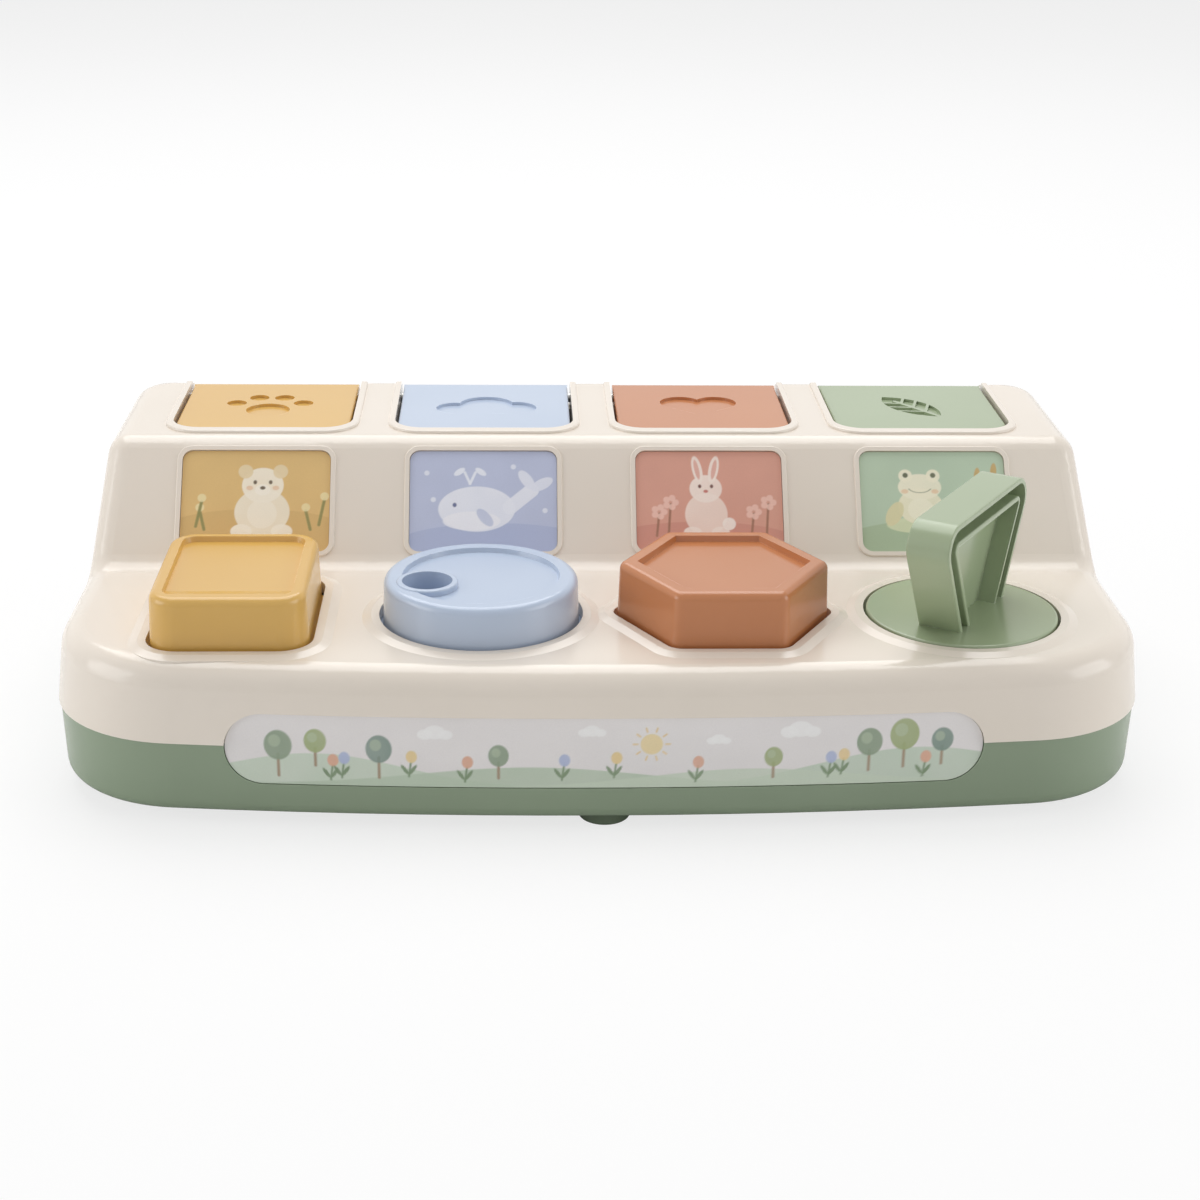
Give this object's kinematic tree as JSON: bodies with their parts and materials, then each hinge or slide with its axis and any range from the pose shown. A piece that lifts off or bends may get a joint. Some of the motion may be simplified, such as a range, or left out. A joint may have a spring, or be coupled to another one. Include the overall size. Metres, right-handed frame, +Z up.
{
  "type": "pop up animal toy",
  "caption": "Stepped toy case whose flip-up lids carry animal figures, each released by its own control: rocking key, turning dial, push button or twist knob.",
  "frame": {"origin": "on the table under the middle of the case, the centre of the bounding box's bottom", "axes": "+X to the right seen from the child's side, +Y to the back where the lids are, +Z up"},
  "size_m": [0.306, 0.1736, 0.0818],
  "materials": {
    "shell_cream": "smooth moulded ABS",
    "tray_green": "smooth moulded ABS",
    "yellow": "smooth moulded ABS",
    "blue": "smooth moulded ABS",
    "orange": "smooth moulded ABS",
    "green": "smooth moulded ABS",
    "printed_card": "printed film",
    "steel": "drawn steel wire and pins",
    "foot_rubber": "matt rubber",
    "catch_white": "moulded acetal"
  },
  "bodies": {
    "case": {"top_case": "shell_cream", "base_tray": "tray_green", "front_label": "printed_card", "foot_pads": "foot_rubber", "case_screws": "steel", "key_pin": "steel", "key_spring": "steel", "dial_spring": "steel", "hex_spring": "steel", "knob_spring": "steel", "window_card_1": "printed_card", "window_card_2": "printed_card", "window_card_3": "printed_card", "window_card_4": "printed_card", "bay_tub_1": "shell_cream", "bay_tub_2": "shell_cream", "bay_tub_3": "shell_cream", "bay_tub_4": "shell_cream", "lid_pin_1": "steel", "lid_pin_2": "steel", "lid_pin_3": "steel", "lid_pin_4": "steel", "lid_spring_1": "steel", "lid_spring_2": "steel", "lid_spring_3": "steel", "lid_spring_4": "steel"},
    "lid_yellow_body": {"lid_1": "yellow", "figure_1": "yellow"},
    "lid_blue_body": {"lid_2": "blue", "figure_2": "blue"},
    "lid_orange_body": {"lid_3": "orange", "figure_3": "orange"},
    "lid_green_body": {"lid_4": "green", "figure_4": "green"},
    "key": {"key_cap": "yellow"},
    "dial_body": {"dial": "blue"},
    "button": {"hex_button": "orange"},
    "knob": {"twist_knob": "green"},
    "catch_1": {"latch_1": "catch_white"},
    "catch_2": {"latch_2": "catch_white"},
    "catch_3": {"latch_3": "catch_white"},
    "catch_4": {"latch_4": "catch_white"}
  },
  "joints": [
    {"name": "lid_1_hinge", "type": "hinge", "parent": "case", "child": "lid_yellow_body", "pos_m": [-0.102, 0.0781, 0.07525], "axis": [-1, 0, 0], "range_deg": [0, 95], "deforming": ["lid_spring_1"]},
    {"name": "lid_2_hinge", "type": "hinge", "parent": "case", "child": "lid_blue_body", "pos_m": [-0.034, 0.0781, 0.07525], "axis": [-1, 0, 0], "range_deg": [0, 95], "deforming": ["lid_spring_2"]},
    {"name": "lid_3_hinge", "type": "hinge", "parent": "case", "child": "lid_orange_body", "pos_m": [0.034, 0.0781, 0.07525], "axis": [-1, 0, 0], "range_deg": [0, 95], "deforming": ["lid_spring_3"]},
    {"name": "lid_4_hinge", "type": "hinge", "parent": "case", "child": "lid_green_body", "pos_m": [0.102, 0.0781, 0.07525], "axis": [-1, 0, 0], "range_deg": [0, 95], "deforming": ["lid_spring_4"]},
    {"name": "key_rock", "type": "hinge", "parent": "case", "child": "key", "pos_m": [-0.102, -0.0199, 0.0395], "axis": [1, 0, 0], "range_deg": [0, 5], "stiffness_Nm_per_rad": 0.3, "springref_deg": -8.59, "deforming": ["key_spring"]},
    {"name": "dial_turn", "type": "hinge", "parent": "case", "child": "dial_body", "pos_m": [-0.034, -0.0433, 0.05], "axis": [0, 0, -1], "range_deg": [0, 75], "stiffness_Nm_per_rad": 0.03, "springref_deg": -17.19, "deforming": ["dial_spring"]},
    {"name": "button_press", "type": "slide", "parent": "case", "child": "button", "axis": [0, 0, -1], "range_m": [0, 0.006], "stiffness_N_per_m": 300, "springref_m": -0.006, "deforming": ["hex_spring"]},
    {"name": "knob_turn", "type": "hinge", "parent": "case", "child": "knob", "pos_m": [0.102, -0.0433, 0.05], "axis": [0, 0, -1], "range_deg": [0, 90], "stiffness_Nm_per_rad": 0.03, "springref_deg": -17.19, "deforming": ["knob_spring"]},
    {"name": "catch_1_slide", "type": "slide", "parent": "case", "child": "catch_1", "axis": [0, -1, 0], "range_m": [0, 0.003]},
    {"name": "catch_2_slide", "type": "slide", "parent": "case", "child": "catch_2", "axis": [0, -1, 0], "range_m": [0, 0.003]},
    {"name": "catch_3_slide", "type": "slide", "parent": "case", "child": "catch_3", "axis": [0, -1, 0], "range_m": [0, 0.003]},
    {"name": "catch_4_slide", "type": "slide", "parent": "case", "child": "catch_4", "axis": [0, -1, 0], "range_m": [0, 0.003]}
  ],
  "couplings": [
    {"joint": "catch_1_slide", "follows": "key_rock", "m_per_rad": 0.034377},
    {"joint": "catch_2_slide", "follows": "dial_turn", "m_per_rad": 0.0022918},
    {"joint": "catch_3_slide", "follows": "button_press", "ratio": 0.5},
    {"joint": "catch_4_slide", "follows": "knob_turn", "m_per_rad": 0.0019098}
  ]
}
